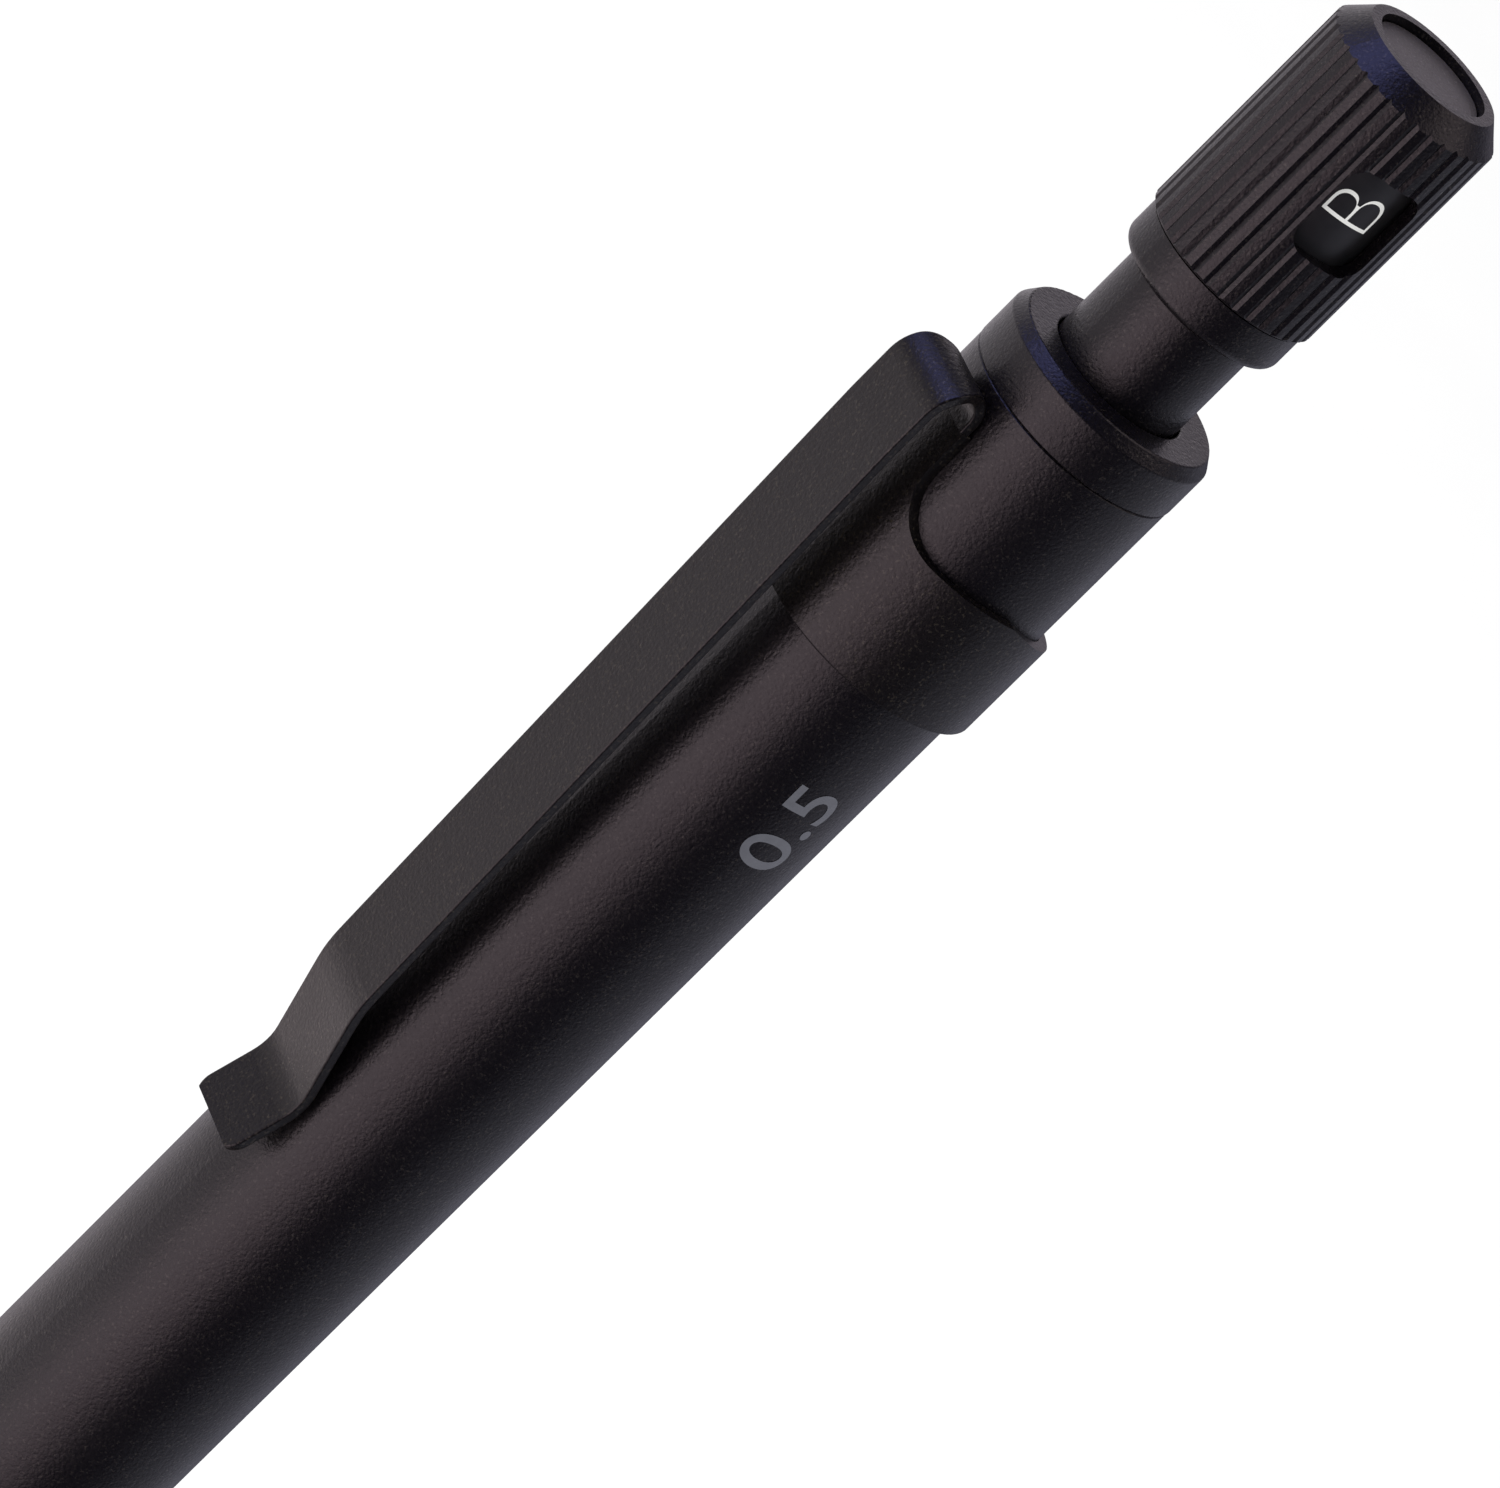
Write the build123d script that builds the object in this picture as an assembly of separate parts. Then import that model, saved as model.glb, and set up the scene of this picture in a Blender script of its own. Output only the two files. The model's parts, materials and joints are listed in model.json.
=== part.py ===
from build123d import *
import math
import os

# A 0.5 mm drafting pencil with a pocket clip and a turning hardness indicator in its push knob.
# Millimetres. The pencil stands on its tip along +Z. The origin is the middle of the pipe's open end.
# The clip is on the +X side.

# ---- overall sizes ----
BARREL_RADIUS = 5.0
BARREL_WALL = 0.8
BARREL_STEP = 0.06          # the barrel is this much thicker behind the clip band's front edge
BARREL_FOOT = 50.0          # where the barrel meets the grip
COLLAR_FACE = 130.2         # flat rear face of the barrel's end collar
PIPE_LENGTH = 4.0           # bare lead pipe in front of the nose cone
NOSE_LENGTH = 12.0          # the cone's own length
KNOB_GAP = 4.5              # bare neck between the collar and the knob
KNOCK = 3.0                 # how far the knob is pressed

# ---- fits, all radial ----
RUNNING = 0.08              # parts that slide or turn in each other
SEAT = 0.02                 # parts that are pushed or screwed together
FACE_GAP = 0.02             # between two sprung leaves of one sheet

# ---- lead ----
LEAD_RADIUS = 0.28
LEAD_REACH = 0.5            # how far the lead stands out of the pipe
WORKING_LEAD_LENGTH = 48.0
LEAD_STORE_FREE = 15.6      # empty height in the store above the spare leads
SPARE_LEADS = 3

# ---- nose ----
PIPE_RADIUS = 0.45
PIPE_SEAT_RADIUS = 0.6      # the pipe's thicker rear half, inside the nose cone
NOSE_TIP_RADIUS = 0.9
NOSE_STEP = 0.25            # the nose cone is this much slimmer than the grip
NOSE_TIP_STRAIGHT = 1.2     # straight stretches at the two ends of the cone
NOSE_REAR_STRAIGHT = 1.5
RETAINER_RADIUS = 1.2
RETAINER_LENGTH = 2.5
RETAINER_SETBACK = 7.5      # from the nose cone's rear to the retainer's foot
RETAINER_FLOOR = 1.0        # between the retainer and the chamber
CHAMBER_RAMP = 1.5          # length over which the chamber widens
THREAD_LENGTH = 5.5         # nose spigot inside the grip
THREAD_WALL = 0.7           # nose spigot's wall round the chamber

# ---- mechanism ----
CHUCK_HEAD_RADIUS = 2.0
CHUCK_SHANK_RADIUS = 1.3
CHUCK_HEAD_LENGTH = 5.0
CHUCK_LENGTH = 20.5
CHUCK_CLEAR = 0.5           # left in front of the chuck at full knock
JAWS = 3
JAW_SLIT = 0.25
CLUTCH_WALL = 0.3           # how far the clutch ring stands out round the jaws
CHAMBER_ROOM = 0.6          # round the clutch ring
CHUCK_NOSE_IN = 0.4         # bevel at the jaws' front
CHUCK_NOSE = 0.6
CHUCK_LAND = 1.4            # where the jaws' cone starts, from their front
CHUCK_BORE_RAMP = 2.0
SLIT_BEYOND = 6.0           # how far the slits run on behind the head
CLUTCH_LENGTH = 2.5
CLUTCH_SETBACK = 2.0        # from the chuck's front to the clutch ring
CLUTCH_CLEAR = 0.05         # between the clutch ring's cone and the jaws
GUIDE_WALL = 0.5
GUIDE_REACH = 0.5           # how far the guide stands in front of the clutch ring
SPRING_SHELF = 1.5
GUIDE_SLEEVE = 9.0          # the guide's sleeve round the spring
HOLDER_FLOOR = 1.0
HOLDER_LIP = 0.3            # rim round the holder's funnel
SPRING_WIRE = 0.22
SPRING_COILS = 6

# ---- lead store and neck ----
NECK_RADIUS = 3.1
NECK_WALL = 1.2
STORE_STEP = 0.2            # the lead store is this much slimmer than the neck
STORE_WALL = 0.45
STORE_ROOM = 0.4            # round the lead store in the grip
JOINT_LENGTH = 6.0          # every spigot between two tubes
NECK_BURIED = 25.0          # length of the neck below the barrel's rear end
LEAD_SPACING = 1.0          # between the working lead and the spare leads

# ---- end collar ----
COLLAR_RISE = 0.03          # how far the collar stands over the barrel beside it
COLLAR_LENGTH = 2.55
COLLAR_SPIGOT = 9.0
COLLAR_CHAMFER = 0.38
COLLAR_CHAMFER_RUN = 0.55
COLLAR_SOFTNESS = 0.12      # rounding of the collar's rear edges
SEAM_BEVEL = 0.07           # on both sides of the collar's seam

# ---- knob ----
BASE_WALL = 0.8             # base ring round the neck
BASE_LENGTH = 1.84
BASE_ROUND = 0.45           # rounding of its lower edge
SHELL_STEP = 0.2            # the shell stands this far over the base ring
SHELL_LENGTH = 11.4
SHELL_WALL = 0.67
SHELL_CHAMFER = 0.92
SHELL_CHAMFER_RUN = 1.03
SHELL_EDGE = 0.12           # bevel of the shell's lower edge
RIBS = 36
RIB_DEPTH = 0.1
RIB_GROOVE = 0.36           # width of the groove between two ribs
CAP_RIM = 0.5               # flat rim round the cap's recess
CAP_RECESS = 0.36
CAP_LIP = 0.75              # thickness of the shell's end
SEAM = 0.08                 # gap between the base ring and the turning shell
WINDOW_START = 5.4          # from the knob's lower face
WINDOW_LENGTH = 4.4
WINDOW_SPAN = 51.5          # degrees
WINDOW_AZIMUTH = 79.0       # degrees round from the clip
WINDOW_CORNER = 0.9
DETENT_RISE = 0.7
DETENT_HEIGHT = 0.6
DETENT_DEPTH = 0.3
DETENT_OPENING = 1.0        # gap in the sprung ring

# ---- clip, one bent sheet ----
CLIP_SHEET = 0.5
CLIP_GAP = 0.03             # band to barrel
BAND_FOOT = 14.8            # from the collar's face
BAND_TOP = 9.1
BAND_SLOPE = 16.0           # degrees, how the band narrows on the side away from the clip
CLIP_BEND_END = 2.6         # rearmost point of the bend, from the collar's face
CLIP_BEND_DEPTH = 1.9       # straight inner leg below the bend's end
CLIP_REAR_HEIGHT = 3.3      # outer face over the barrel at the bend
CLIP_TAB_WIDTH = 2.8
CLIP_WIDTH = 3.9
CLIP_LENGTH = 45.1
CLIP_RAMP_REACH = 36.5      # from the bend's end to the ramp
CLIP_VALLEY_REACH = 41.9    # from the bend's end to the touching point
CLIP_RAMP_HEIGHT = 2.2      # outer face over the barrel where the ramp starts
CLIP_TIP_LIFT = 1.3
CLIP_TIP_CORNER = 0.9
TAB_FILLET = 2.6
SHEET_EDGE = 0.1            # rounding of the sheet's edges
INNER_BEND = 1.25           # radii of the sheet's bends, on its middle
OUTER_BEND = 1.35
REAR_BEND = 8.0
RAMP_BEND = 6.0
VALLEY_BEND = 2.5

# ---- grip ----
GRIP_STEP = 0.15            # the grip is this much slimmer than the barrel
GROOVE_DEPTH = 0.18
GROOVES = 28
GROOVE_PITCH = 1.0
GROOVE_START = 19.0
GRIP_CHAMFER = 0.2

# ---- levels that follow from the sizes above ----
grip_radius = BARREL_RADIUS - GRIP_STEP
nose_rear_radius = grip_radius - NOSE_STEP
clutch_radius = CHUCK_HEAD_RADIUS + CLUTCH_WALL
chamber_radius = clutch_radius + CHAMBER_ROOM
thread_radius = chamber_radius + THREAD_WALL
nose_rear = PIPE_LENGTH + NOSE_LENGTH
nose_thread_end = nose_rear + THREAD_LENGTH
retainer_foot = nose_rear - RETAINER_SETBACK
retainer_top = retainer_foot + RETAINER_LENGTH
chamber_floor = retainer_top + RETAINER_FLOOR
chuck_front = chamber_floor + CHUCK_CLEAR + KNOCK
chuck_rear = chuck_front + CHUCK_LENGTH
jaw_rear = chuck_front + CHUCK_HEAD_LENGTH
cone_front = chuck_front + CHUCK_LAND
clutch_front = chuck_front + CLUTCH_SETBACK
clutch_rear = clutch_front + CLUTCH_LENGTH
spring_seat = nose_thread_end + SPRING_SHELF
guide_rear = spring_seat + GUIDE_SLEEVE
holder_front = chuck_rear - JOINT_LENGTH
spring_top = holder_front
holder_shoulder = chuck_rear + HOLDER_FLOOR
barrel_top = COLLAR_FACE - COLLAR_LENGTH
barrel_rear_radius = BARREL_RADIUS + BARREL_STEP
collar_radius = barrel_rear_radius + COLLAR_RISE
band_foot = COLLAR_FACE - BAND_FOOT
barrel_bore = BARREL_RADIUS - BARREL_WALL
collar_bore = NECK_RADIUS + RUNNING
knob_foot = COLLAR_FACE + KNOB_GAP
base_top = knob_foot + BASE_LENGTH
base_radius = NECK_RADIUS + BASE_WALL
shell_radius = base_radius + SHELL_STEP
cap_hole_radius = shell_radius - SHELL_CHAMFER - CAP_RIM
shell_foot = base_top + SEAM
shell_top = shell_foot + SHELL_LENGTH
shell_bore = shell_radius - SHELL_WALL
drum_radius = shell_bore - RUNNING
drum_top = shell_top - CAP_LIP - SEAM
neck_top = base_top - SEAM
neck_bore = NECK_RADIUS - NECK_WALL
neck_foot = barrel_top - NECK_BURIED
plug_length = 2 * JOINT_LENGTH
store_radius = NECK_RADIUS - STORE_STEP
store_bore = store_radius - STORE_WALL
spare_lead_top = base_top - plug_length - LEAD_STORE_FREE
chuck_bore = LEAD_RADIUS + SEAT
bend_end = COLLAR_FACE - CLIP_BEND_END
bend_centre = bend_end - CLIP_BEND_DEPTH
band_inside = barrel_rear_radius + CLIP_GAP
band_outside = band_inside + CLIP_SHEET

os.makedirs("parts", exist_ok=True)


def turned(outline):
    """Turn a closed (radius, height) outline round the pencil's axis."""
    with BuildPart() as made:
        with BuildSketch(Plane.XZ):
            with BuildLine():
                Polyline(*outline, close=True)
            make_face()
        revolve(axis=Axis.Z)
    return made.part


def rod(radius, foot, top):
    """A round rod on the axis between two heights."""
    return Pos(0, 0, (foot + top) / 2) * Cylinder(radius, top - foot)


def tube(outside, inside, foot, top):
    """A round tube on the axis between two heights."""
    return rod(outside, foot, top) - rod(inside, foot - 1, top + 1)


def lead_pipe():
    bare = tube(PIPE_RADIUS, LEAD_RADIUS + SEAT, 0, PIPE_LENGTH)
    return bare + tube(PIPE_SEAT_RADIUS, LEAD_RADIUS + SEAT, PIPE_LENGTH, retainer_foot)


def nose_cone():
    blank = turned([
        (0, PIPE_LENGTH),
        (NOSE_TIP_RADIUS, PIPE_LENGTH),
        (NOSE_TIP_RADIUS, PIPE_LENGTH + NOSE_TIP_STRAIGHT),
        (nose_rear_radius, nose_rear - NOSE_REAR_STRAIGHT),
        (nose_rear_radius, nose_rear),
        (thread_radius, nose_rear),
        (thread_radius, nose_thread_end),
        (0, nose_thread_end),
    ])
    blank -= rod(PIPE_SEAT_RADIUS + SEAT, PIPE_LENGTH - 1, retainer_foot)
    blank -= rod(RETAINER_RADIUS + SEAT, retainer_foot, retainer_top)
    blank -= rod(2 * LEAD_RADIUS, retainer_top, chamber_floor)
    chamber = turned([
        (0, chamber_floor),
        (CHUCK_HEAD_RADIUS + 4 * RUNNING, chamber_floor),
        (chamber_radius, chamber_floor + CHAMBER_RAMP),
        (chamber_radius, nose_thread_end + 1),
        (0, nose_thread_end + 1),
    ])
    return blank - chamber


def lead_retainer():
    return tube(RETAINER_RADIUS, LEAD_RADIUS + SEAT, retainer_foot, retainer_top)


def front_grip():
    bore = chamber_radius + GUIDE_WALL
    blank = tube(grip_radius, bore, nose_rear, BARREL_FOOT)
    blank -= rod(thread_radius + SEAT, nose_rear - 1, nose_thread_end)
    blank -= rod(barrel_bore, BARREL_FOOT - JOINT_LENGTH, BARREL_FOOT + 1)
    blank -= rod(store_radius + STORE_ROOM, guide_rear, BARREL_FOOT + 1)
    groove = Pos(0, 0, GROOVE_START) * Torus(grip_radius + GROOVE_DEPTH, 2 * GROOVE_DEPTH)
    for ring in range(GROOVES):
        blank -= Pos(0, 0, ring * GROOVE_PITCH) * groove
    rims = blank.edges().filter_by(GeomType.CIRCLE).filter_by(lambda e: abs(e.radius - grip_radius) < 0.001)
    return chamfer([rims.sort_by(Axis.Z)[0], rims.sort_by(Axis.Z)[-1]], GRIP_CHAMFER)


def barrel_coupler():
    middle = barrel_bore - SEAT
    bore = store_radius + STORE_ROOM
    return tube(middle, bore, BARREL_FOOT - JOINT_LENGTH, BARREL_FOOT + JOINT_LENGTH)


def barrel():
    front = tube(BARREL_RADIUS, barrel_bore, BARREL_FOOT, band_foot)
    rear = tube(barrel_rear_radius, barrel_bore, band_foot, barrel_top)
    rim = rear.edges().filter_by(GeomType.CIRCLE).group_by(Axis.Z)[-1].sort_by(SortBy.RADIUS)[-1]
    return front + chamfer(rim, SEAM_BEVEL)


def end_collar():
    blank = turned([
        (collar_bore, barrel_top - COLLAR_SPIGOT),
        (barrel_bore - SEAT, barrel_top - COLLAR_SPIGOT),
        (barrel_bore - SEAT, barrel_top),
        (collar_radius - SEAM_BEVEL, barrel_top),
        (collar_radius, barrel_top + SEAM_BEVEL),
        (collar_radius, COLLAR_FACE - COLLAR_CHAMFER_RUN),
        (collar_radius - COLLAR_CHAMFER, COLLAR_FACE),
        (collar_bore, COLLAR_FACE),
    ])
    rims = blank.edges().filter_by(lambda e: e.center().Z > barrel_top + 2 * SEAM_BEVEL and e.length > NECK_RADIUS)
    return fillet(rims.filter_by(GeomType.CIRCLE), COLLAR_SOFTNESS)


def chuck_guide():
    front = clutch_front - GUIDE_REACH
    body = turned([
        (0, front),
        (chamber_radius - RUNNING, front),
        (chamber_radius - RUNNING, nose_thread_end),
        (chamber_radius + GUIDE_WALL - SEAT, nose_thread_end),
        (chamber_radius + GUIDE_WALL - SEAT, guide_rear),
        (0, guide_rear),
    ])
    body -= rod(clutch_radius + RUNNING, front - 1, clutch_rear + RUNNING)
    body -= rod(CHUCK_SHANK_RADIUS + 4 * RUNNING, front, guide_rear)
    return body - rod(chamber_radius - SEAT, spring_seat, guide_rear + 1)


def chuck():
    # The head is widest at the front, so the ring squeezes the jaws as the spring pulls the chuck back.
    body = turned([
        (chuck_bore, chuck_front),
        (CHUCK_HEAD_RADIUS - CHUCK_NOSE_IN, chuck_front),
        (CHUCK_HEAD_RADIUS, chuck_front + CHUCK_NOSE),
        (CHUCK_HEAD_RADIUS, cone_front),
        (CHUCK_SHANK_RADIUS, jaw_rear),
        (CHUCK_SHANK_RADIUS, chuck_rear),
        (2 * chuck_bore, chuck_rear),
        (2 * chuck_bore, jaw_rear + CHUCK_BORE_RAMP),
        (chuck_bore, jaw_rear),
    ])
    slit = Pos(CHUCK_HEAD_RADIUS, 0, 0) * Box(
        2 * CHUCK_HEAD_RADIUS, JAW_SLIT, CHUCK_HEAD_LENGTH + SLIT_BEYOND + 1,
        align=(Align.CENTER, Align.CENTER, Align.MIN),
    )
    for jaw in range(JAWS):
        body -= Pos(0, 0, chuck_front - 1) * Rot(0, 0, 360 / JAWS * jaw) * slit
    return body


def jaw_radius(height):
    """The radius of the jaws' cone at a height."""
    share = (height - cone_front) / (jaw_rear - cone_front)
    return CHUCK_HEAD_RADIUS + (CHUCK_SHANK_RADIUS - CHUCK_HEAD_RADIUS) * share


def clutch_ring():
    return turned([
        (jaw_radius(clutch_front) + CLUTCH_CLEAR, clutch_front),
        (clutch_radius, clutch_front),
        (clutch_radius, clutch_rear),
        (jaw_radius(clutch_rear) + CLUTCH_CLEAR, clutch_rear),
    ])


def chuck_holder():
    """Joins the chuck's rear to the lead store."""
    flange = chamber_radius - 4 * RUNNING
    blank = turned([
        (0, holder_front),
        (flange, holder_front),
        (flange, holder_shoulder),
        (store_bore - SEAT, holder_shoulder),
        (store_bore - SEAT, holder_shoulder + JOINT_LENGTH),
        (0, holder_shoulder + JOINT_LENGTH),
    ])
    blank -= rod(CHUCK_SHANK_RADIUS + SEAT, holder_front - 1, chuck_rear)
    blank -= rod(3 * LEAD_RADIUS, chuck_rear, holder_shoulder)
    funnel = Pos(0, 0, holder_shoulder + JOINT_LENGTH / 2) * Cone(
        3 * LEAD_RADIUS, store_bore - 4 * SEAT - HOLDER_LIP, JOINT_LENGTH,
    )
    return blank - funnel


def lead_store():
    return tube(store_radius, store_bore, holder_shoulder, neck_foot)


def push_tube():
    body = tube(NECK_RADIUS, neck_bore, neck_foot, neck_top)
    spigot = tube(store_bore - SEAT, neck_bore, neck_foot - JOINT_LENGTH, neck_foot)
    return body + spigot


def main_spring():
    middle = chamber_radius - 4 * RUNNING - SPRING_WIRE
    foot = spring_seat + SPRING_WIRE
    height = spring_top - SPRING_WIRE - foot
    path = Pos(0, 0, foot) * Helix(height / SPRING_COILS, height, middle)
    start = path @ 0
    profile = Plane(origin=start, z_dir=path % 0) * Circle(SPRING_WIRE)
    coil = sweep(profile, path, is_frenet=True)
    closed = Torus(middle, SPRING_WIRE)
    coil = coil + Pos(0, 0, foot) * closed
    return coil + Pos(0, 0, foot + height) * closed


def working_lead():
    return rod(LEAD_RADIUS, -LEAD_REACH, WORKING_LEAD_LENGTH)


def spare_leads():
    foot = WORKING_LEAD_LENGTH + LEAD_SPACING
    one = rod(LEAD_RADIUS, foot, spare_lead_top)
    ring = store_bore - 4 * LEAD_RADIUS
    leads = [Pos(ring, 0, 0) * one]
    for lead in range(1, SPARE_LEADS):
        leads.append(Rot(0, 0, 360 / SPARE_LEADS * lead) * Pos(ring, 0, 0) * one)
    return Compound(children=leads)


def knob_base():
    blank = tube(base_radius, NECK_RADIUS + RUNNING, knob_foot, base_top)
    lower = blank.edges().filter_by(GeomType.CIRCLE).filter_by(lambda e: abs(e.radius - base_radius) < 0.001)
    return fillet(lower.sort_by(Axis.Z)[0], BASE_ROUND)


def indicator_drum():
    return turned([
        (0, base_top - plug_length),
        (neck_bore - SEAT, base_top - plug_length),
        (neck_bore - SEAT, base_top),
        (drum_radius, base_top),
        (drum_radius, drum_top),
        (0, drum_top),
    ]) - detent_groove()


def detent_groove():
    height = base_top + DETENT_RISE
    return tube(shell_bore + 1, drum_radius - DETENT_DEPTH, height, height + DETENT_HEIGHT)


def detent_ring():
    height = base_top + DETENT_RISE
    ring = tube(drum_radius, drum_radius - DETENT_DEPTH + SEAT, height + SEAT, height + DETENT_HEIGHT - SEAT)
    gap = Pos(-drum_radius, 0, height) * Box(drum_radius, DETENT_OPENING, 4 * DETENT_HEIGHT)
    return ring - gap


def indicator_shell():
    rim = shell_radius - SHELL_CHAMFER
    body = turned([
        (shell_bore, shell_foot),
        (shell_radius - SHELL_EDGE, shell_foot),
        (shell_radius, shell_foot + SHELL_EDGE),
        (shell_radius, shell_top - SHELL_CHAMFER_RUN),
        (rim, shell_top),
        (cap_hole_radius, shell_top),
        (cap_hole_radius, shell_top - CAP_LIP),
        (shell_bore, shell_top - CAP_LIP),
    ])
    return body - rib_grooves() - window_cutter()


def rib_grooves():
    """Shallow V-shaped grooves along the whole shell."""
    half = RIB_GROOVE / 2
    outline = Polyline(
        (shell_radius + RIB_DEPTH, -2 * half),
        (shell_radius + RIB_DEPTH, 2 * half),
        (shell_radius - RIB_DEPTH, 0),
        close=True,
    )
    cutter = Pos(0, 0, shell_foot - 1) * extrude(make_face(outline), SHELL_LENGTH + 2)
    cutters = [Rot(0, 0, 360 / RIBS * rib) * cutter for rib in range(RIBS)]
    return Compound(children=cutters)


def window_cutter():
    """A rounded window, cut straight in along the middle of its span."""
    middle = knob_foot + WINDOW_START + WINDOW_LENGTH / 2
    width = 2 * shell_radius * math.sin(math.radians(WINDOW_SPAN / 2))
    outline = RectangleRounded(width, WINDOW_LENGTH, WINDOW_CORNER)
    block = extrude(Plane.YZ * outline, shell_radius + 1)
    block -= Cylinder(drum_radius, 2 * WINDOW_LENGTH)
    return Rot(0, 0, WINDOW_AZIMUTH) * Pos(0, 0, middle) * block


def cap_disc():
    radius = cap_hole_radius - RUNNING
    return rod(radius, drum_top, shell_top - CAP_RECESS)


def clip_band():
    """The ring round the barrel and the tab that rises from it to the bend."""
    top = COLLAR_FACE - BAND_TOP
    ring = tube(band_outside, band_inside, band_foot, bend_centre - FACE_GAP)
    reach = 4 * band_outside
    above = Box(reach, reach, reach, align=(Align.MIN, Align.CENTER, Align.MIN))
    sloped = Box(reach, reach, reach, align=(Align.CENTER, Align.CENTER, Align.MIN))
    band = ring - Pos(0, 0, top) * above - Pos(0, 0, top) * Rot(0, -BAND_SLOPE, 0) * sloped
    half = CLIP_TAB_WIDTH / 2
    foot_half = half + TAB_FILLET
    with BuildSketch(Plane.YZ) as outline:
        with BuildLine():
            Polyline((-foot_half, top), (-foot_half, band_foot), (foot_half, band_foot), (foot_half, top))
            RadiusArc((foot_half, top), (half, top + TAB_FILLET), TAB_FILLET)
            Polyline((half, top + TAB_FILLET), (half, bend_centre), (-half, bend_centre), (-half, top + TAB_FILLET))
            RadiusArc((-half, top + TAB_FILLET), (-foot_half, top), TAB_FILLET)
        make_face()
    return band + (ring & extrude(outline.sketch, 2 * band_outside))


def clip_arm():
    """The bend and the sprung arm, as one strip of sheet."""
    half = CLIP_SHEET / 2
    leg = band_inside + half
    touch = BARREL_RADIUS + CLIP_GAP + half
    outer_leg = BARREL_RADIUS + CLIP_REAR_HEIGHT - half
    top = bend_end - half
    tip = bend_end - CLIP_LENGTH
    with BuildPart() as made:
        with BuildSketch(Plane.XZ):
            with BuildLine() as middle:
                FilletPolyline(
                    (leg, bend_centre),
                    (leg, top),
                    (outer_leg, top),
                    (outer_leg, bend_centre - CLIP_BEND_DEPTH),
                    (BARREL_RADIUS + CLIP_RAMP_HEIGHT - half, bend_end - CLIP_RAMP_REACH),
                    (touch, bend_end - CLIP_VALLEY_REACH),
                    (touch + CLIP_TIP_LIFT, tip),
                    radius=(INNER_BEND, OUTER_BEND, REAR_BEND, RAMP_BEND, VALLEY_BEND),
                )
            trace(middle.line.edges(), line_width=CLIP_SHEET)
        extrude(amount=CLIP_WIDTH, both=True)
    strip = made.part & clip_plan(tip - half)
    sides = strip.edges().filter_by(lambda e: abs(e.center().Y) > CLIP_TAB_WIDTH / 4)
    return fillet(sides.filter_by(lambda e: e.length > CLIP_SHEET + SHEET_EDGE), SHEET_EDGE)


def clip_plan(tip):
    """The block that the strip is cut to: straight sides and rounded tip, narrowing round the bend."""
    foot = bend_centre - CLIP_SHEET
    reach = 3 * band_outside
    wide = CLIP_WIDTH / 2
    narrow = CLIP_TAB_WIDTH / 2
    arm_face = BARREL_RADIUS + CLIP_REAR_HEIGHT - CLIP_SHEET
    with BuildSketch(Plane.YZ) as straight:
        with Locations((0, (tip + foot) / 2)):
            Rectangle(CLIP_WIDTH, foot - tip)
        fillet(straight.vertices().sort_by(Axis.Y)[:2], CLIP_TIP_CORNER)
    with BuildSketch(Plane.XY.offset(foot)) as bend:
        with BuildLine():
            Polyline((arm_face, wide), (reach, wide), (reach, 0), (0, 0), (0, narrow), (band_outside, narrow))
            Spline((band_outside, narrow), (arm_face, wide), tangents=((1, 0), (1, 0)))
        make_face()
        mirror(about=Plane.XZ)
    return extrude(straight.sketch, reach) + extrude(bend.sketch, bend_end + 1 - foot)


NODES = {
    "lead_pipe": lead_pipe,
    "nose_cone": nose_cone,
    "lead_retainer": lead_retainer,
    "front_grip": front_grip,
    "barrel_coupler": barrel_coupler,
    "barrel": barrel,
    "end_collar": end_collar,
    "chuck_guide": chuck_guide,
    "chuck": chuck,
    "clutch_ring": clutch_ring,
    "chuck_holder": chuck_holder,
    "lead_store": lead_store,
    "push_tube": push_tube,
    "main_spring": main_spring,
    "working_lead": working_lead,
    "spare_leads": spare_leads,
    "knob_base": knob_base,
    "indicator_drum": indicator_drum,
    "detent_ring": detent_ring,
    "indicator_shell": indicator_shell,
    "cap_disc": cap_disc,
    "clip_band": clip_band,
    "clip_arm": clip_arm,
}

for name, make in NODES.items():
    export_step(make(), f"parts/{name}.step")
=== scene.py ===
"""A slim drafting pencil with a sprung clip and a ribbed knob that turns to show a lead hardness."""

import json
import logging
import math
from dataclasses import dataclass
from enum import Enum
from typing import Any

import bmesh
import bpy
from mathutils import Matrix, Vector


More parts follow.
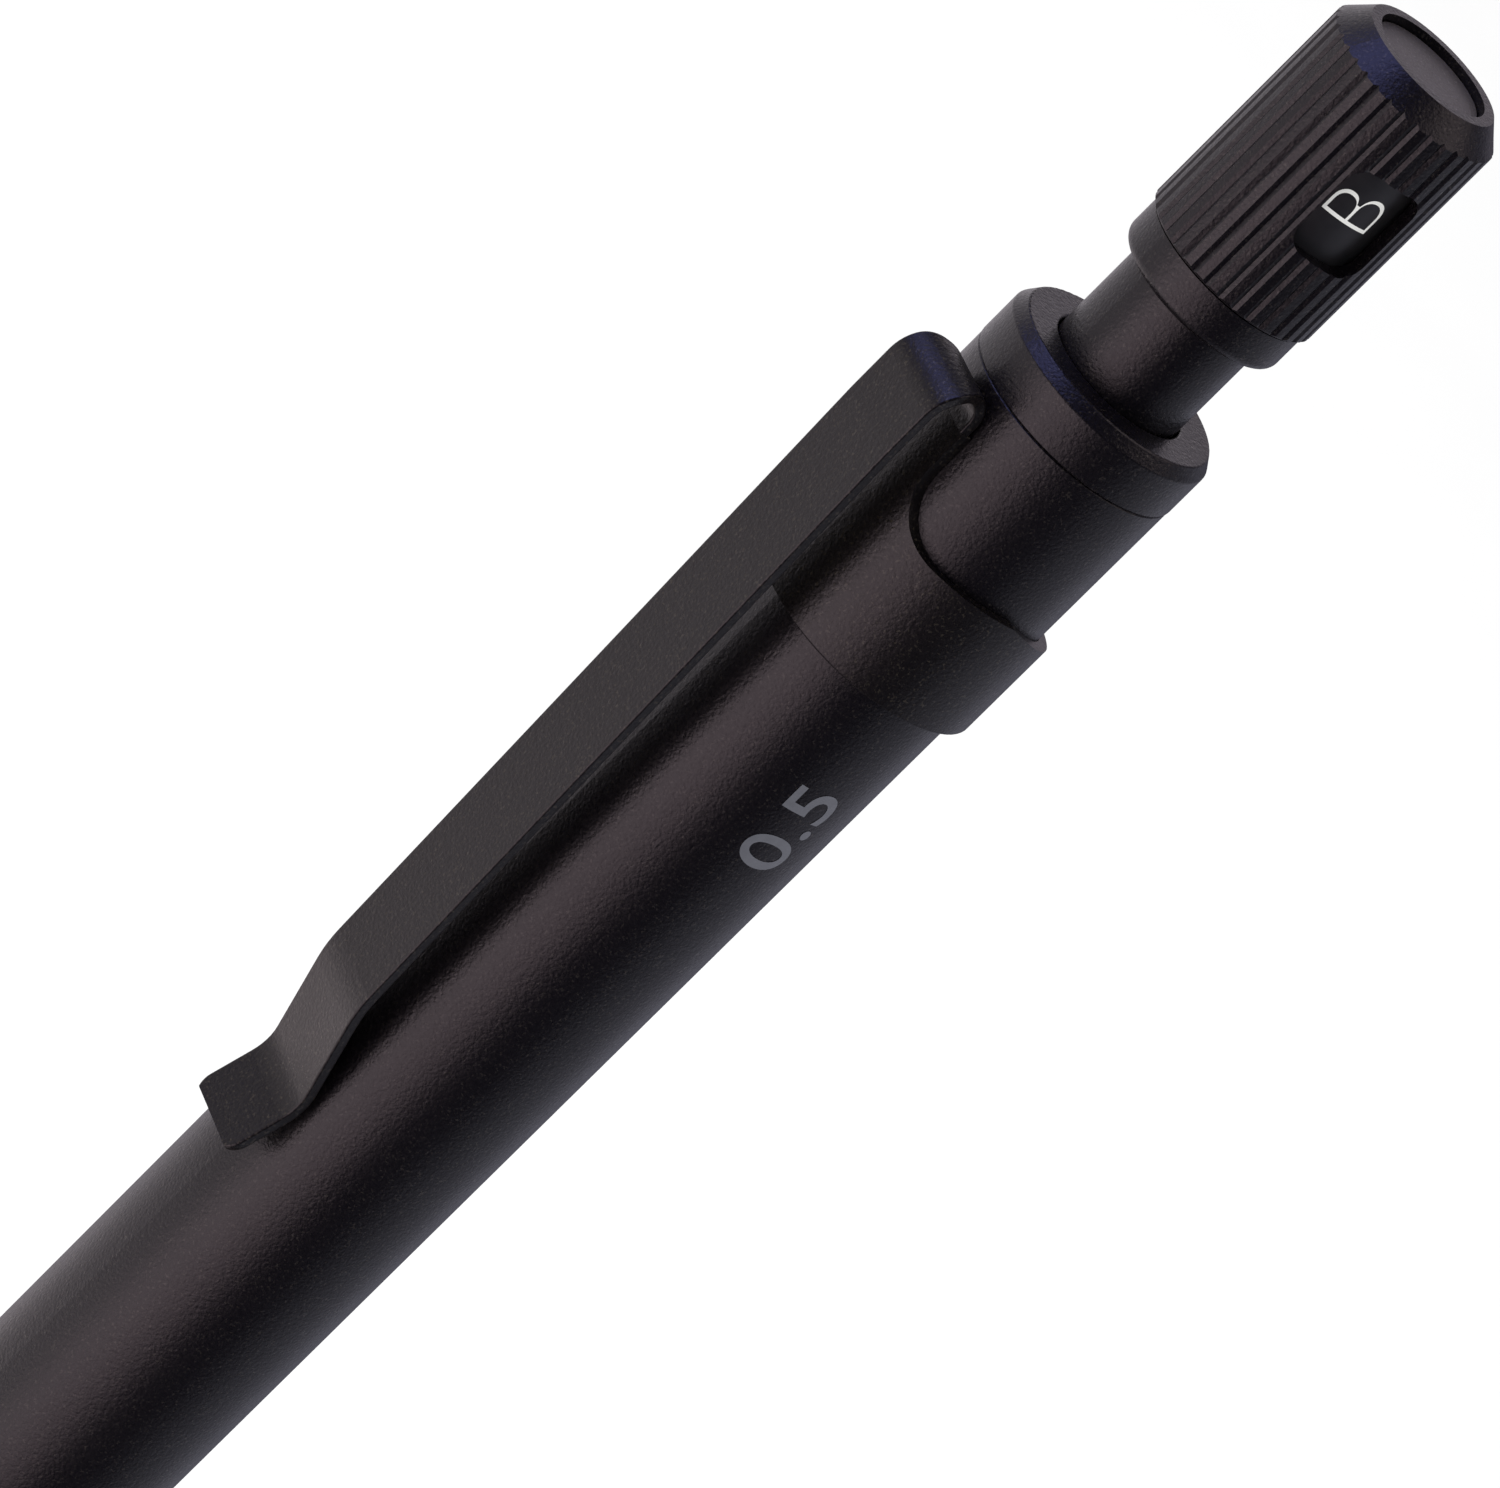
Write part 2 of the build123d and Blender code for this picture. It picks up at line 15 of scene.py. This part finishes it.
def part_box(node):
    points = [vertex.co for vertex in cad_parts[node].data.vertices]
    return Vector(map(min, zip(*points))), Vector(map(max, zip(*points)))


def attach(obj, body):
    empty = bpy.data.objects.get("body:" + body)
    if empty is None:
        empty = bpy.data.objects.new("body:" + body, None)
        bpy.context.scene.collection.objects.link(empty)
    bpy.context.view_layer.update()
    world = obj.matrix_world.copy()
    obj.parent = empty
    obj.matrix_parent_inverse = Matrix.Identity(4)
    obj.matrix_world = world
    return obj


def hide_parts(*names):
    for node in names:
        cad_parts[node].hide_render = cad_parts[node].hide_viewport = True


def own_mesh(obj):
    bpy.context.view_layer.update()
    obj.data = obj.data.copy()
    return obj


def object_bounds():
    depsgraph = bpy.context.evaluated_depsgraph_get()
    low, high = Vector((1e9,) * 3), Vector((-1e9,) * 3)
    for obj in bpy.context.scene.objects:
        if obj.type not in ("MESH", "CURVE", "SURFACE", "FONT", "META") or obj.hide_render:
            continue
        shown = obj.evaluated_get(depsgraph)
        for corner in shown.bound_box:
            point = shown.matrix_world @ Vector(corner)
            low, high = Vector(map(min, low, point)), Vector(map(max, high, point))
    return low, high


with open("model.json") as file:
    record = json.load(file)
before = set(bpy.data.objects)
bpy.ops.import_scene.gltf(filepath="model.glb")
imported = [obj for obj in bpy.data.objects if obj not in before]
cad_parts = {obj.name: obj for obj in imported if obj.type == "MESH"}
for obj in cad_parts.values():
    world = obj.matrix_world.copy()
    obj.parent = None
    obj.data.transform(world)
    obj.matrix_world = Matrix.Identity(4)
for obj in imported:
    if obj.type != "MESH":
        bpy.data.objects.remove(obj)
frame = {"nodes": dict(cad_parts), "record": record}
CAD_LOW, CAD_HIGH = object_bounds()
LOG = logging.getLogger("pencil")
MM = 0.001
MERGE_DISTANCE = 1e-7
Colour = tuple[float, float, float]
Scale = tuple[float, float, float]


class Body(Enum):
    """The rigid bodies that pieces ride on."""

    BARREL = "barrel_body"
    KNOB = "knob"


class Value:
    """A float socket that adds Math nodes when it is used in an expression."""

    def __init__(self, tree: "Shader", socket: Any) -> None:
        """Keep the socket and the tree that it belongs to."""
        self.tree = tree
        self.socket = socket

    def _math(self, operation: str, first: Any, second: Any = 0.0) -> "Value":
        """Add one Math node.

        Args:
            operation: the Math node's operation.
            first: a Value or a number.
            second: a Value or a number.

        Returns:
            The node's result.
        """
        return self.tree.node("ShaderNodeMath", {"operation": operation}, {0: first, 1: second})

    def __add__(self, other: Any) -> "Value":
        """Add."""
        return self._math("ADD", self, other)

    __radd__ = __add__

    def __mul__(self, other: Any) -> "Value":
        """Multiply."""
        return self._math("MULTIPLY", self, other)

    __rmul__ = __mul__

    def __sub__(self, other: Any) -> "Value":
        """Take a value away."""
        return self._math("SUBTRACT", self, other)

    def __rsub__(self, other: Any) -> "Value":
        """Be taken away from a number."""
        return self._math("SUBTRACT", other, self)

    def clamped(self) -> "Value":
        """The value held between nought and one."""
        return self.tree.node("ShaderNodeClamp", {}, {"Value": self})


class Shader:
    """A material's node tree with one Principled shader."""

    def __init__(self, name: str) -> None:
        """Make an empty material of that name."""
        self.material = bpy.data.materials.new(name)
        self.material.use_nodes = True
        self.tree = self.material.node_tree
        self.tree.nodes.clear()
        self.output = self.tree.nodes.new("ShaderNodeOutputMaterial")
        self.principled = self.tree.nodes.new("ShaderNodeBsdfPrincipled")
        self.tree.links.new(self.principled.outputs[0], self.output.inputs["Surface"])

    def _feed(self, socket: Any, value: Any) -> None:
        """Set a socket's number or colour, or link a Value to it.

        Args:
            socket: the input socket.
            value: a number, a colour, a Value or another node's output.
        """
        if isinstance(value, Value):
            self.tree.links.new(value.socket, socket)
        elif hasattr(value, "is_output"):
            self.tree.links.new(value, socket)
        else:
            socket.default_value = value

    def node(self, kind: str, settings: dict[str, Any], sockets: dict[Any, Any], out: Any = 0) -> Value:
        """Add a node.

        Args:
            kind: the node's type.
            settings: its own settings, which are set first.
            sockets: numbers, colours or links for its inputs, by name or number.
            out: the output that is wanted.

        Returns:
            That output as a Value.
        """
        made = self.tree.nodes.new(kind)
        for key, setting in settings.items():
            setattr(made, key, setting)
        for key, value in sockets.items():
            self._feed(made.inputs[key], value)
        return Value(self, made.outputs[out])

    def place(self) -> Value:
        """The point in object coordinates, in metres."""
        return self.node("ShaderNodeTexCoord", {}, {}, "Object")

    def noise(
        self, place: Value, per_metre: float, detail: float = 2.0, stretch: Scale = (1, 1, 1),
    ) -> Value:
        """A noise pattern.

        Args:
            place: the coordinates.
            per_metre: how many blotches in a metre.
            detail: finer layers on it.
            stretch: scale on each axis.

        Returns:
            Its strength, about a half on average.
        """
        spread = self.node("ShaderNodeMapping", {}, {"Vector": place, "Scale": stretch})
        return self.node("ShaderNodeTexNoise", {}, {"Vector": spread, "Scale": per_metre, "Detail": detail})

    def tint(self, mask: Value, dark: Any, light: Colour) -> Value:
        """Mix two colours by a mask.

        Args:
            mask: nought for the dark colour and one for the light.
            dark: a colour or a Value.
            light: a colour.

        Returns:
            The mixed colour.
        """
        ground = dark if isinstance(dark, Value) else (*dark, 1.0)
        sockets = {0: mask, 6: ground, 7: (*light, 1.0)}
        return self.node("ShaderNodeMix", {"data_type": "RGBA"}, sockets, 2)

    def bump(self, height: Value, depth: float) -> Value:
        """A normal from a height pattern of that depth in metres."""
        return self.node("ShaderNodeBump", {}, {"Height": height, "Distance": depth})

    def set(self, **sockets: Any) -> None:
        """Set or link the Principled shader's sockets, with _ for a space."""
        for name, value in sockets.items():
            self._feed(self.principled.inputs[name.replace("_", " ")], value)


@dataclass(frozen=True)
class Coat:
    """A fine-grained satin coat on metal, with paler flecks in it."""

    name: str
    dark: Colour
    light: Colour
    fleck: Colour
    roughness: float
    grain_per_metre: float = 6500.0
    grain_depth: float = 0.026 * MM
    specular: float = 0.3
    cloud_per_metre: float = 90.0
    cloud_share: float = 0.4
    smudge_per_metre: float = 320.0
    smudge_stretch: Scale = (1.0, 1.0, 0.35)
    smudge_spread: float = 0.1
    grain_spread: float = 0.16
    fleck_scale: float = 1.4
    fleck_cut: float = 0.6
    fleck_gain: float = 8.0
    fleck_polish: float = 0.1

    def make(self) -> bpy.types.Material:
        """Build the coat.

        Returns:
            Its material.
        """
        shader = Shader(self.name)
        place = shader.place()
        grain = shader.noise(place, self.grain_per_metre, 3.0)
        speck = shader.noise(place, self.grain_per_metre * self.fleck_scale, 1.0)
        cloud = shader.noise(place, self.cloud_per_metre, 2.0)
        smudge = shader.noise(place, self.smudge_per_metre, 4.0, self.smudge_stretch)
        flecks = ((speck - self.fleck_cut) * self.fleck_gain).clamped()
        mottle = grain * (1 - self.cloud_share) + cloud * self.cloud_share
        ground = shader.tint(mottle, self.dark, self.light)
        least = self.roughness - (self.smudge_spread + self.grain_spread) / 2
        uneven = smudge * self.smudge_spread + grain * self.grain_spread - flecks * self.fleck_polish
        shader.set(
            Base_Color=shader.tint(flecks, ground, self.fleck),
            Roughness=(uneven + least).clamped(),
            Specular_IOR_Level=self.specular,
            Normal=shader.bump(grain, self.grain_depth),
        )
        return shader.material


@dataclass(frozen=True)
class Turned:
    """Bare metal with fine turning marks round the pencil's axis."""

    name: str
    dark: Colour
    light: Colour
    roughness: float
    marks_per_metre: float = 9000.0
    mark_stretch: Scale = (0.03, 0.03, 1.0)
    mark_depth: float = 0.004 * MM
    mark_spread: float = 0.12
    cloud_per_metre: float = 400.0

    def make(self) -> bpy.types.Material:
        """Build the metal.

        Returns:
            Its material.
        """
        shader = Shader(self.name)
        place = shader.place()
        marks = shader.noise(place, self.marks_per_metre, 2.0, self.mark_stretch)
        cloud = shader.noise(place, self.cloud_per_metre, 3.0)
        shader.set(
            Base_Color=shader.tint(cloud, self.dark, self.light),
            Metallic=1.0,
            Roughness=(marks * self.mark_spread + (self.roughness - self.mark_spread / 2)).clamped(),
            Normal=shader.bump(marks, self.mark_depth),
        )
        return shader.material


@dataclass(frozen=True)
class Moulded:
    """Plastic, rubber, graphite or ink with a faint mottle."""

    name: str
    dark: Colour
    light: Colour
    roughness: float
    grain_per_metre: float = 2500.0
    grain_depth: float = 0.003 * MM
    grain_spread: float = 0.1

    def make(self) -> bpy.types.Material:
        """Build the plastic, rubber, graphite or ink.

        Returns:
            Its material.
        """
        shader = Shader(self.name)
        place = shader.place()
        grain = shader.noise(place, self.grain_per_metre, 3.0)
        shader.set(
            Base_Color=shader.tint(grain, self.dark, self.light),
            Roughness=(grain * self.grain_spread + (self.roughness - self.grain_spread / 2)).clamped(),
            Normal=shader.bump(grain, self.grain_depth),
        )
        return shader.material


BLACK_COAT = Coat(
    "black_coat", (0.0016, 0.0012, 0.002), (0.0032, 0.0025, 0.0034), (0.017, 0.014, 0.013), 0.34,
)
CLIP_COAT = Coat(
    "clip_coat", (0.002, 0.0015, 0.0015), (0.004, 0.0031, 0.003), (0.022, 0.018, 0.014), 0.36, 6000.0,
)
DISC_COAT = Coat("disc_coat", (0.038, 0.033, 0.035), (0.053, 0.046, 0.049), (0.068, 0.06, 0.064), 0.42)
PIPE_STEEL = Turned("pipe_steel", (0.5, 0.5, 0.51), (0.62, 0.62, 0.63), 0.24)
SPRING_STEEL = Turned("spring_steel", (0.42, 0.42, 0.43), (0.55, 0.55, 0.56), 0.3)
BRASS = Turned("turned_brass", (0.62, 0.43, 0.17), (0.74, 0.55, 0.26), 0.27)
DRUM_PLASTIC = Moulded("drum_plastic", (0.006, 0.006, 0.007), (0.011, 0.011, 0.012), 0.45)
GUIDE_PLASTIC = Moulded("guide_plastic", (0.03, 0.03, 0.032), (0.045, 0.045, 0.047), 0.5)
STORE_PLASTIC = Moulded("store_plastic", (0.6, 0.59, 0.55), (0.7, 0.69, 0.65), 0.4)
RUBBER = Moulded("retainer_rubber", (0.012, 0.012, 0.012), (0.02, 0.02, 0.02), 0.7)
# Painted shadow: a near-black matte colour that stands in for the shade under the clip band's front edge.
SHADOW_LINE_PAINT = Moulded("painted_shadow_line", (0.0004, 0.0004, 0.0005), (0.0008, 0.0008, 0.0009), 0.9)
GRAPHITE = Moulded("graphite", (0.03, 0.03, 0.033), (0.055, 0.055, 0.06), 0.35)
LETTER_INK = Moulded("letter_ink", (0.72, 0.72, 0.7), (0.8, 0.8, 0.78), 0.5)
PRINT_INK = Moulded("print_ink", (0.085, 0.088, 0.105), (0.115, 0.118, 0.14), 0.5)
FLOOR_PAINT = Moulded("floor_paint", (0.9, 0.9, 0.9), (0.92, 0.92, 0.92), 0.9, 40.0, 0.02 * MM)


def finished(
    mesh_maker: bmesh.types.BMesh, name: str, material: bpy.types.Material, smooth: bool = True,
) -> bpy.types.Object:
    """Turn a bmesh into an object at the origin.

    Args:
        mesh_maker: the shape, in place, in metres.
        name: the object's name.
        material: its only material.
        smooth: whether its faces are shaded smooth.

    Returns:
        The new object.
    """
    mesh = bpy.data.meshes.new(name)
    mesh_maker.to_mesh(mesh)
    mesh_maker.free()
    for face in mesh.polygons:
        face.use_smooth = smooth
    mesh.materials.append(material)
    made = bpy.data.objects.new(name, mesh)
    bpy.context.scene.collection.objects.link(made)
    return made


@dataclass
class Lettering:
    """Ink letters that run along the pencil and lie round a cylinder."""

    words: str
    height: float
    radius: float
    azimuth: float
    middle_z: float
    thinner: float
    widen: float
    strips: int = 14
    closest: float = 1e-9

    def build(self, name: str, material: bpy.types.Material) -> bpy.types.Object:
        """Make the letters as a thin skin of ink.

        Args:
            name: the object's name.
            material: the ink.

        Returns:
            The letters' object.
        """
        curve = bpy.data.curves.new(name + "_outline", "FONT")
        curve.body = self.words
        curve.align_x = "CENTER"
        curve.align_y = "CENTER"
        curve.offset = -self.thinner
        curve.resolution_u = 8
        writer = bpy.data.objects.new(name + "_outline", curve)
        bpy.context.scene.collection.objects.link(writer)
        seen = writer.evaluated_get(bpy.context.evaluated_depsgraph_get())
        flat = bpy.data.meshes.new_from_object(seen)
        bpy.data.objects.remove(writer)
        ink = bmesh.new()
        ink.from_mesh(flat)
        bpy.data.meshes.remove(flat)
        low = min(vertex.co.y for vertex in ink.verts)
        high = max(vertex.co.y for vertex in ink.verts)
        left = min(vertex.co.x for vertex in ink.verts)
        right = max(vertex.co.x for vertex in ink.verts)
        size = self.height / (high - low)
        bmesh.ops.translate(ink, verts=ink.verts, vec=(-(left + right) / 2, -(low + high) / 2, 0))
        bmesh.ops.scale(ink, verts=ink.verts, vec=(size * self.widen, size, 1))
        self._slice(ink)
        for vertex in ink.verts:
            turn = math.radians(self.azimuth) - vertex.co.y / self.radius
            level = self.middle_z + vertex.co.x
            vertex.co = Vector((self.radius * math.cos(turn), self.radius * math.sin(turn), level))
        return finished(ink, name, material)

    def _slice(self, ink: bmesh.types.BMesh) -> None:
        """Cut the flat letters across, so that they can bend round.

        Args:
            ink: the flat letters, at their final size.
        """
        for strip in range(1, self.strips):
            level = self.height * (strip / self.strips - 0.5)
            everything = [*ink.verts, *ink.edges, *ink.faces]
            bmesh.ops.bisect_plane(
                ink, geom=everything, dist=self.closest, plane_co=(0, level, 0), plane_no=(0, 1, 0),
            )


@dataclass
class Casing:
    """The grip, barrel, collar, nose and clip, with the printing on the barrel."""

    print_azimuth: float = 87.0
    print_height: float = 2.35 * MM
    print_thinner: float = -0.008
    print_widen: float = 1.18
    print_z: float = 108.4 * MM
    barrel_radius: float = 5.0 * MM
    ink_rise: float = 0.012 * MM
    # Size and lift of the painted shadow line under the band's front edge.
    shadow_line_width: float = 0.28 * MM
    shadow_line_rise: float = 0.005 * MM
    shadow_line_segments: int = 160

    def dress(self) -> None:
        """Give the CAD nodes their finishes."""
        coat = BLACK_COAT.make()
        for node in ("barrel", "end_collar", "front_grip", "nose_cone"):
            wear(node, coat)
        clip = CLIP_COAT.make()
        for node in ("clip_band", "clip_arm"):
            wear(node, clip)
        wear("lead_pipe", PIPE_STEEL.make())
        wear("barrel_coupler", BRASS.make())
        wear("chuck_guide", GUIDE_PLASTIC.make())
        wear("lead_retainer", RUBBER.make())

    def print_size(self) -> bpy.types.Object:
        """Print the lead size on the barrel.

        Returns:
            The print.
        """
        words = Lettering(
            "0.5", self.print_height, self.barrel_radius + self.ink_rise,
            self.print_azimuth, self.print_z, self.print_thinner, self.print_widen,
        )
        made = words.build("size_print", PRINT_INK.make())
        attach(made, Body.BARREL.value)
        return made


    def paint_band_shadow(self) -> bpy.types.Object:
        """Paint a hairline of shadow round the barrel at the band's front edge, where the band's edge
        shades the barrel.

        Returns:
            The hairline.
        """
        radius = self.barrel_radius + self.shadow_line_rise
        edge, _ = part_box("clip_band")
        maker = bmesh.new()
        bmesh.ops.create_cone(
            maker, cap_ends=False, segments=self.shadow_line_segments,
            radius1=radius, radius2=radius, depth=self.shadow_line_width,
        )
        bmesh.ops.translate(maker, verts=maker.verts, vec=(0, 0, edge.z - self.shadow_line_width / 2))
        # This ring is painted shadow: it darkens the crevice under the band's front edge.
        made = finished(maker, "band_painted_shadow", SHADOW_LINE_PAINT.make())
        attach(made, Body.BARREL.value)
        return made


@dataclass
class Mechanism:
    """The chuck, spring, lead store and leads inside, and the neck."""

    def dress(self) -> None:
        """Give the CAD nodes their finishes."""
        brass = BRASS.make()
        for node in ("chuck", "clutch_ring"):
            wear(node, brass)
        plastic = STORE_PLASTIC.make()
        for node in ("chuck_holder", "lead_store"):
            wear(node, plastic)
        graphite = GRAPHITE.make()
        for node in ("working_lead", "spare_leads"):
            wear(node, graphite)
        wear("push_tube", BLACK_COAT.make())

    def fit_spring(self) -> bpy.types.Object:
        """Stand the return spring on its seat, as a copy of the CAD spring node.

        Returns:
            The spring.
        """
        low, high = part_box("main_spring")
        joints = frame["record"]["behaviour"]["joints"]
        travel = next(joint["range_m"][1] for joint in joints if joint["name"] == "knock")
        maker = bmesh.new()
        maker.from_mesh(frame["nodes"]["main_spring"].data)
        bmesh.ops.remove_doubles(maker, verts=maker.verts, dist=MERGE_DISTANCE)
        made = finished(maker, "return_spring", SPRING_STEEL.make())
        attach(made, Body.BARREL.value)
        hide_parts("main_spring")
        1 - travel / (high.z - low.z)
        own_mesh(made)
        return made


@dataclass
class Knob:
    """The base ring, lettered drum, turning shell and cap."""

    letter_azimuth: float = 76.5
    letter_height: float = 2.3 * MM
    letter_z: float = 142.67 * MM
    letter_thinner: float = 0.027
    letter_widen: float = 1.0
    ink_rise: float = 0.012 * MM
    hardnesses: tuple[str, ...] = ("B", "HB", "F", "H", "2H", "2B")

    def dress(self) -> None:
        """Give the CAD nodes their finishes."""
        coat = BLACK_COAT.make()
        for node in ("knob_base", "indicator_shell"):
            wear(node, coat)
        wear("indicator_drum", DRUM_PLASTIC.make())
        wear("detent_ring", SPRING_STEEL.make())
        wear("cap_disc", DISC_COAT.make())

    def letter_drum(self) -> list[bpy.types.Object]:
        """Letter the drum with the lead hardnesses, evenly round it.

        Returns:
            The letters, one object for each hardness.
        """
        _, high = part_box("indicator_drum")
        drum_radius = high.x + self.ink_rise
        ink = LETTER_INK.make()
        made = []
        for place, hardness in enumerate(self.hardnesses):
            azimuth = self.letter_azimuth + 360 / len(self.hardnesses) * place
            words = Lettering(
                hardness, self.letter_height, drum_radius, azimuth, self.letter_z,
                self.letter_thinner, self.letter_widen,
            )
            letter = words.build("hardness_" + hardness, ink)
            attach(letter, Body.KNOB.value)
            made.append(letter)
        return made


def wear(node: str, material: bpy.types.Material) -> None:
    """Put a finish on a CAD node."""
    for slot in frame["nodes"][node].material_slots:
        slot.material = material


@dataclass(frozen=True)
class SoftPanel:
    """A large soft panel of light that the pencil's coat mirrors."""

    azimuth: float
    elevation: float
    core: float
    edge: float
    colour: Colour


WARM_PANEL = SoftPanel(22.0, -22.0, 5.0, 42.0, (2.35, 1.85, 2.0))
FRONT_PANEL = SoftPanel(-25.0, -22.0, 15.0, 55.0, (0.93, 0.85, 0.88))
LEFT_PANEL = SoftPanel(-95.0, 0.0, 22.0, 52.0, (0.9, 0.84, 0.87))
RIGHT_PANEL = SoftPanel(158.0, -20.0, 15.0, 58.0, (0.5, 0.5, 0.57))
BLUE_PANEL = SoftPanel(-35.0, 54.0, 8.0, 31.0, (1.35, 1.45, 3.5))
TABLE_PANEL = SoftPanel(-74.0, -75.0, 25.0, 48.0, (1.15, 1.0, 1.0))
FAR_PANEL = SoftPanel(146.0, 54.0, 8.0, 28.0, (1.5, 1.25, 1.25))
BACK_PANEL = SoftPanel(-140.0, 20.0, 8.0, 30.0, (0.45, 0.4, 0.43))
PANELS = (WARM_PANEL, FRONT_PANEL, LEFT_PANEL, RIGHT_PANEL, BLUE_PANEL, TABLE_PANEL, FAR_PANEL, BACK_PANEL)
ROOM_GLOW = (0.03, 0.025, 0.06)


@dataclass(frozen=True)
class Softbox:
    """A square area light, by direction in degrees, distance and side in metres, and watts."""

    name: str
    azimuth: float
    elevation: float
    away: float
    side: float
    power: float


KEY_LIGHT = Softbox("key_light", -35.0, 30.0, 0.7, 0.5, 3.0)


def bearing(azimuth: float, elevation: float) -> Vector:
    """Point from the pencil at something round it.

    Args:
        azimuth: degrees round from the clip's side.
        elevation: degrees above the level.

    Returns:
        A unit vector.
    """
    turn = math.radians(azimuth)
    rise = math.radians(elevation)
    return Vector((math.cos(turn) * math.cos(rise), math.sin(turn) * math.cos(rise), math.sin(rise)))


@dataclass
class Studio:
    """The floor, the lights and the camera."""

    aim_z: float = 108.39 * MM
    distance: float = 420.0 * MM
    azimuth: float = 43.0
    elevation: float = 21.8
    roll: float = 45.2
    lens: float = 254.6
    sensor: float = 36.0
    nearest: float = 0.01
    room_radius: float = 0.9
    room_segments: int = 48
    floor_gap: float = 12.0 * MM
    floor_reach: float = 4.0
    ground_gap: float = 0.05 * MM

    def build(self) -> None:
        """Set up everything round the pencil."""
        self._floor()
        self._reflections()
        self._sky()
        self._hang(KEY_LIGHT)
        self._camera()

    def _floor(self) -> None:
        """A wide pale floor, low enough to clear the nose when it is drawn off."""
        maker = bmesh.new()
        bmesh.ops.create_grid(maker, x_segments=1, y_segments=1, size=self.floor_reach)
        bmesh.ops.translate(maker, verts=maker.verts, vec=(0, 0, CAD_LOW.z - self.floor_gap))
        floor = finished(maker, "floor", FLOOR_PAINT.make(), False)

    def _reflections(self) -> None:
        """A round room that only shows in reflections, lit by soft panels."""
        maker = bmesh.new()
        bmesh.ops.create_uvsphere(
            maker, u_segments=self.room_segments, v_segments=self.room_segments // 2,
            radius=self.room_radius,
        )
        bmesh.ops.translate(maker, verts=maker.verts, vec=(0, 0, self.aim_z))
        ground = CAD_LOW.z - self.floor_gap + self.ground_gap
        everything = [*maker.verts, *maker.edges, *maker.faces]
        bmesh.ops.bisect_plane(
            maker, geom=everything, dist=MERGE_DISTANCE,
            plane_co=(0, 0, ground), plane_no=(0, 0, -1), clear_outer=True,
        )
        bmesh.ops.holes_fill(maker, edges=[edge for edge in maker.edges if edge.is_boundary])
        room = finished(maker, "reflected_room", self._room_light(), False)
        room.visible_camera = False
        room.visible_diffuse = False
        room.visible_shadow = False
        room.visible_transmission = False

    def _room_light(self) -> bpy.types.Material:
        """Make the panels' light, by direction from the barrel.

        Returns:
            The room's material.
        """
        shader = Shader("room_light")
        ends = {0: shader.place(), 1: (0, 0, self.aim_z)}
        away = shader.node("ShaderNodeVectorMath", {"operation": "SUBTRACT"}, ends)
        towards = shader.node("ShaderNodeVectorMath", {"operation": "NORMALIZE"}, {0: away})
        light = shader.node("ShaderNodeCombineXYZ", {}, dict(enumerate(ROOM_GLOW)))
        for panel in PANELS:
            facing = bearing(panel.azimuth, panel.elevation)
            both = {0: towards, 1: facing}
            nearness = shader.node("ShaderNodeVectorMath", {"operation": "DOT_PRODUCT"}, both, 1)
            edge = math.cos(math.radians(panel.edge))
            core = math.cos(math.radians(panel.core))
            span = {"Value": nearness, 1: edge, 2: core}
            fade = shader.node("ShaderNodeMapRange", {"interpolation_type": "SMOOTHSTEP"}, span)
            tinted = {0: panel.colour, "Scale": fade}
            glow = shader.node("ShaderNodeVectorMath", {"operation": "SCALE"}, tinted)
            light = shader.node("ShaderNodeVectorMath", {"operation": "ADD"}, {0: light, 1: glow})
        shader.set(
            Base_Color=(0, 0, 0, 1), Specular_IOR_Level=0.0, Emission_Color=light, Emission_Strength=1.0,
        )
        shader.material.cycles.emission_sampling = "NONE"
        return shader.material

    def _sky(self) -> None:
        """An even white surround."""
        world = bpy.data.worlds.new("studio_air")
        world.use_nodes = True
        background = world.node_tree.nodes["Background"]
        background.inputs["Color"].default_value = (1.0, 1.0, 1.0, 1.0)
        background.inputs["Strength"].default_value = 1.0
        world.cycles.sampling_method = "NONE"
        bpy.context.scene.world = world

    def _hang(self, softbox: Softbox) -> None:
        """Hang a softbox so that it faces the barrel but doesn't show in it.

        Args:
            softbox: where it hangs, and how large and bright it is.
        """
        lamp = bpy.data.lights.new(softbox.name, "AREA")
        lamp.size = softbox.side
        lamp.energy = softbox.power
        holder = bpy.data.objects.new(softbox.name, lamp)
        bpy.context.scene.collection.objects.link(holder)
        facing = bearing(softbox.azimuth, softbox.elevation)
        holder.location = facing * softbox.away + Vector((0, 0, self.aim_z))
        holder.rotation_mode = "QUATERNION"
        holder.rotation_quaternion = facing.to_track_quat("Z", "Y")
        holder.visible_glossy = False

    def _camera(self) -> None:
        """Point the camera at the barrel, turned so that the pencil runs up to the right."""
        lens = bpy.data.cameras.new("camera")
        lens.sensor_width = self.sensor
        lens.lens = self.lens
        lens.clip_start = self.nearest
        holder = bpy.data.objects.new("camera", lens)
        bpy.context.scene.collection.objects.link(holder)
        facing = bearing(self.azimuth, self.elevation)
        holder.location = facing * self.distance + Vector((0, 0, self.aim_z))
        upright = facing.to_track_quat("Z", "Y").to_matrix()
        tilted = upright @ Matrix.Rotation(math.radians(self.roll), 3, "Z")
        holder.rotation_mode = "QUATERNION"
        holder.rotation_quaternion = tilted.to_quaternion()
        bpy.context.scene.camera = holder


def main() -> None:
    """Build the pencil, then the studio."""
    logging.basicConfig(level=logging.INFO)
    casing = Casing()
    casing.dress()
    for piece in (casing.print_size(), casing.paint_band_shadow()):
        LOG.info("casing: %s", piece.name)
    mechanism = Mechanism()
    mechanism.dress()
    LOG.info("mechanism: %s", mechanism.fit_spring().name)
    knob = Knob()
    knob.dress()
    for letter in knob.letter_drum():
        LOG.info("knob: %s", letter.name)
    Studio().build()
    scene = bpy.context.scene
    scene.view_settings.view_transform = "Standard"


if __name__ == "__main__":
    main()
